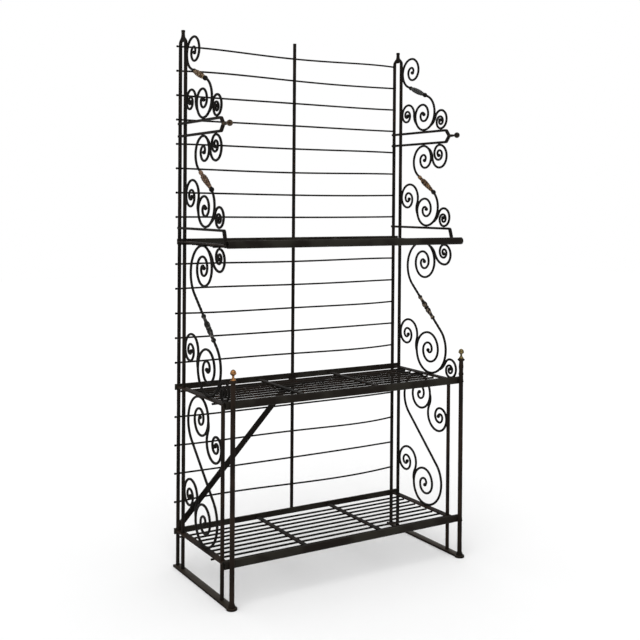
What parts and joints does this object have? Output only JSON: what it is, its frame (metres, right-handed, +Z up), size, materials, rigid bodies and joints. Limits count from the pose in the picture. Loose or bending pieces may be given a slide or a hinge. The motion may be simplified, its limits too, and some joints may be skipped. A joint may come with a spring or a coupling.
{
  "type": "scrolled wrought-iron shelf rack",
  "caption": "Free-standing wrought-iron shelf rack with scrolled open ends, slatted shelves of round rods, a wired back, a diagonal brace and brass finials.",
  "frame": {"origin": "on the floor, at the middle of the footprint", "axes": "+X along the width towards the right end frame, +Y from the front to the wired back, +Z up"},
  "size_m": [1.04, 0.494, 2.043],
  "materials": {
    "frame_bars": "worn dark brown paint, satin",
    "scroll_bars": "worn dark brown paint, satin",
    "feet": "worn dark brown paint, satin",
    "shelf_rails": "worn dark brown paint, satin",
    "shelf_flats": "worn dark brown paint, satin",
    "shelf_rods": "worn dark paint, rubbed to bare steel in places",
    "back_wires": "dark brown paint, satin",
    "bolts": "dark brown paint, satin",
    "cast_collars": "rubbed bronze paint",
    "bracket_balls": "tarnished brass",
    "brass_finials": "tarnished brass, satin"
  },
  "bodies": {
    "root": {"left_foot_bar": "feet", "right_foot_bar": "feet", "left_outer_rear_post": "frame_bars", "right_outer_rear_post": "frame_bars", "left_inner_rear_post": "frame_bars", "right_inner_rear_post": "frame_bars", "left_post_cap": "frame_bars", "right_post_cap": "frame_bars", "left_thick_front_post": "frame_bars", "right_thick_front_post": "frame_bars", "left_thin_front_post": "frame_bars", "right_thin_front_post": "frame_bars", "left_post_ferrule": "feet", "right_post_ferrule": "feet", "left_acorn_finial": "brass_finials", "right_acorn_finial": "brass_finials", "left_fork_bracket": "frame_bars", "right_fork_bracket": "frame_bars", "left_fork_ball": "bracket_balls", "right_fork_ball": "bracket_balls", "left_arm": "frame_bars", "right_arm": "frame_bars", "left_crown_scroll": "scroll_bars", "right_crown_scroll": "scroll_bars", "left_second_scroll": "scroll_bars", "right_second_scroll": "scroll_bars", "left_third_scroll": "scroll_bars", "right_third_scroll": "scroll_bars", "left_lower_scroll": "scroll_bars", "right_lower_scroll": "scroll_bars", "left_small_scrolls": "scroll_bars", "right_small_scrolls": "scroll_bars", "left_collars": "cast_collars", "right_collars": "cast_collars", "top_front_rail": "shelf_rails", "worktop_front_rail": "shelf_rails", "lower_front_rail": "shelf_rails", "top_rear_rail": "shelf_rails", "worktop_rear_rail": "shelf_rails", "lower_rear_rail": "shelf_rails", "top_side_bars": "shelf_flats", "worktop_side_bars": "shelf_flats", "lower_side_bars": "shelf_flats", "top_cross_bars": "shelf_flats", "worktop_cross_bars": "shelf_flats", "lower_cross_bars": "shelf_flats", "top_rods": "shelf_rods", "worktop_rods": "shelf_rods", "lower_rods": "shelf_rods", "back_wires": "back_wires", "centre_bar": "frame_bars", "diagonal_brace": "frame_bars", "brace_bolts": "bolts", "front_rail_bolts": "bolts", "rear_rail_bolts": "bolts"}
  },
  "joints": []
}
